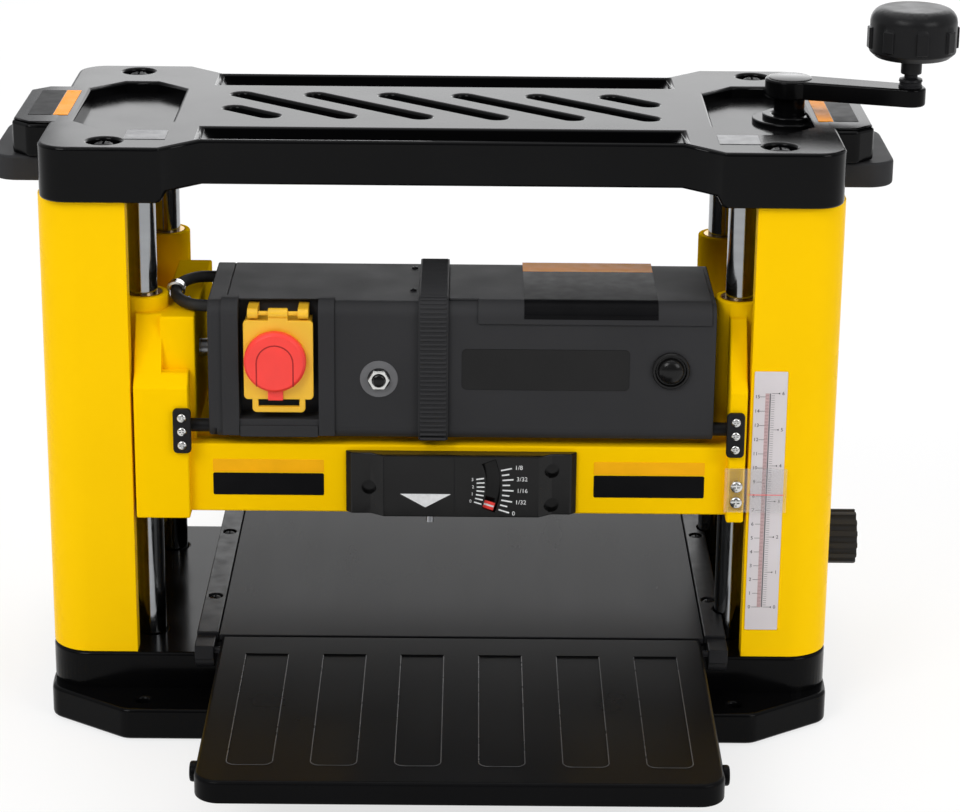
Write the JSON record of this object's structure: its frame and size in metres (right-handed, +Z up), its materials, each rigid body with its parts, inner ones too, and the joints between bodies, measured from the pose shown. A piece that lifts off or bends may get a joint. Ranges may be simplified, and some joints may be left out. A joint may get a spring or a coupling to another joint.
{
  "type": "combination planer thicknesser",
  "caption": "Benchtop thickness planer: a motor carriage with cutterhead and feed rollers rides on posts over a steel bed with folding tables, set by a top crank.",
  "frame": {"origin": "centre of the base bolts on the floor", "axes": "+Z up, +X to the crank side, -Y to the infeed front"},
  "size_m": [0.6467, 0.703, 0.4775],
  "materials": {
    "gloss_black": "gloss",
    "yellow_paint": "gloss",
    "bed_steel": "satin",
    "black_steel": "satin",
    "screw_steel": "satin",
    "bright_steel": "polished",
    "machined_steel": "satin",
    "bronze": "satin",
    "dark_plastic": "textured",
    "gloss_plastic_black": "gloss",
    "switch_yellow": "satin",
    "signal_red": "satin",
    "start_green": "satin",
    "white_plastic": "satin",
    "clear_plastic": "clear",
    "scale_plate": "satin",
    "black_rubber": "matte",
    "motor_copper": "varnished"
  },
  "bodies": {
    "frame": {"base_casting": "gloss_black", "bed_plate": "bed_steel", "bed_rails": "black_steel", "frame_screws": "screw_steel", "hinge_brackets": "black_steel", "left_column_cover": "yellow_paint", "right_column_cover": "yellow_paint", "guide_posts": "bright_steel", "top_plate": "gloss_black", "carry_grips": "dark_plastic", "thickness_scale": "scale_plate", "screw_bushes": "bronze", "lift_chain": "machined_steel"},
    "crank": {"crank_arm": "gloss_black", "crank_spindle": "screw_steel", "right_lead_screw": "machined_steel", "right_sprocket": "machined_steel"},
    "knob": {"crank_knob": "dark_plastic"},
    "left_screw": {"left_lead_screw": "machined_steel", "left_sprocket": "machined_steel"},
    "carriage": {"carriage_casting": "yellow_paint", "carriage_bushes": "bronze", "motor_housing_left": "dark_plastic", "motor_housing_right": "dark_plastic", "motor_cover": "dark_plastic", "housing_collar": "dark_plastic", "belt_cover": "dark_plastic", "brush_cap": "gloss_plastic_black", "switch_frame": "switch_yellow", "overload_bezel": "bright_steel", "hinge_rod": "bright_steel", "rod_clips": "black_steel", "gauge_housing": "dark_plastic", "pointer_window": "clear_plastic", "chip_hood": "dark_plastic", "motor_lead": "black_rubber", "lead_clamp": "machined_steel", "ball_bearings": "machined_steel", "field_stator": "motor_copper", "drive_belt": "black_rubber", "roller_blocks": "bronze", "feed_gearbox": "dark_plastic", "carriage_screws": "screw_steel"},
    "cutter": {"cutterhead": "machined_steel", "knives": "bright_steel", "knife_clamps": "machined_steel", "head_pulley": "machined_steel"},
    "rotor": {"armature": "motor_copper", "motor_pulley": "machined_steel"},
    "infeed_roll": {"infeed_roller": "black_rubber"},
    "outfeed_roll": {"outfeed_roller": "black_rubber"},
    "switch_lid": {"switch_cover": "switch_yellow", "stop_paddle": "signal_red"},
    "start_key": {"start_button": "start_green"},
    "overload_key": {"overload_button": "white_plastic"},
    "plunger": {"gauge_plunger": "machined_steel"},
    "needle": {"gauge_needle": "signal_red"},
    "stop_turret": {"depth_stop": "dark_plastic"},
    "front_table": {"infeed_table": "gloss_black"},
    "rear_table": {"outfeed_table": "gloss_black"}
  },
  "joints": [
    {"name": "crank_turn", "type": "hinge", "parent": "frame", "child": "crank", "pos_m": [0.235, 0, 0.4], "axis": [0, 0, 1], "range_deg": [-12610, 14230]},
    {"name": "knob_spin", "type": "hinge", "parent": "crank", "child": "knob", "pos_m": [0.31299, -0.02534, 0.45], "axis": [0, 0, 1], "continuous": true},
    {"name": "left_screw_turn", "type": "hinge", "parent": "frame", "child": "left_screw", "pos_m": [-0.235, 0, 0.2], "axis": [0, 0, 1], "range_deg": [-12610, 14230]},
    {"name": "carriage_lift", "type": "slide", "parent": "frame", "child": "carriage", "axis": [0, 0, 1], "range_m": [-0.079, 0.07]},
    {"name": "cutterhead_spin", "type": "hinge", "parent": "carriage", "child": "cutter", "pos_m": [0, 0, 0.17], "axis": [1, 0, 0], "continuous": true},
    {"name": "armature_spin", "type": "hinge", "parent": "carriage", "child": "rotor", "pos_m": [0, -0.066, 0.249], "axis": [1, 0, 0], "continuous": true},
    {"name": "infeed_roller_spin", "type": "hinge", "parent": "carriage", "child": "infeed_roll", "pos_m": [0, -0.05, 0.1622], "axis": [1, 0, 0], "continuous": true},
    {"name": "outfeed_roller_spin", "type": "hinge", "parent": "carriage", "child": "outfeed_roll", "pos_m": [0, 0.05, 0.1622], "axis": [1, 0, 0], "continuous": true},
    {"name": "switch_cover_open", "type": "hinge", "parent": "carriage", "child": "switch_lid", "pos_m": [-0.107, -0.117, 0.2888], "axis": [-1, 0, 0], "range_deg": [0, 100]},
    {"name": "start_press", "type": "slide", "parent": "carriage", "child": "start_key", "axis": [0, 1, 0], "range_m": [0, 0.0025], "stiffness_N_per_m": 400, "springref_m": -0.001},
    {"name": "overload_press", "type": "slide", "parent": "carriage", "child": "overload_key", "axis": [0, 1, 0], "range_m": [0, 0.0025], "stiffness_N_per_m": 400, "springref_m": -0.001},
    {"name": "gauge_plunger_lift", "type": "slide", "parent": "carriage", "child": "plunger", "axis": [0, 0, 1], "range_m": [0, 0.0032], "stiffness_N_per_m": 60, "springref_m": -0.001},
    {"name": "gauge_needle_swing", "type": "hinge", "parent": "carriage", "child": "needle", "pos_m": [-0.012, -0.1222, 0.1725], "axis": [0, -1, 0], "range_deg": [0, 35.45]},
    {"name": "depth_stop_turn", "type": "hinge", "parent": "frame", "child": "stop_turret", "pos_m": [0.265, -0.04, 0.106], "axis": [1, 0, 0], "continuous": true},
    {"name": "infeed_table_fold", "type": "hinge", "parent": "frame", "child": "front_table", "pos_m": [0.015, -0.14, 0.0585], "axis": [1, 0, 0], "range_deg": [-90, 0]},
    {"name": "outfeed_table_fold", "type": "hinge", "parent": "frame", "child": "rear_table", "pos_m": [0.015, 0.14, 0.0585], "axis": [-1, 0, 0], "range_deg": [-90, 0]}
  ],
  "couplings": [
    {"joint": "crank_turn", "follows": "carriage_lift", "rad_per_m": -3141.6},
    {"joint": "left_screw_turn", "follows": "carriage_lift", "rad_per_m": -3141.6},
    {"joint": "armature_spin", "follows": "cutterhead_spin", "ratio": 1.4444},
    {"joint": "infeed_roller_spin", "follows": "cutterhead_spin", "ratio": -0.0083333},
    {"joint": "outfeed_roller_spin", "follows": "cutterhead_spin", "ratio": -0.0083333},
    {"joint": "gauge_needle_swing", "follows": "gauge_plunger_lift", "rad_per_m": 193.07}
  ]
}
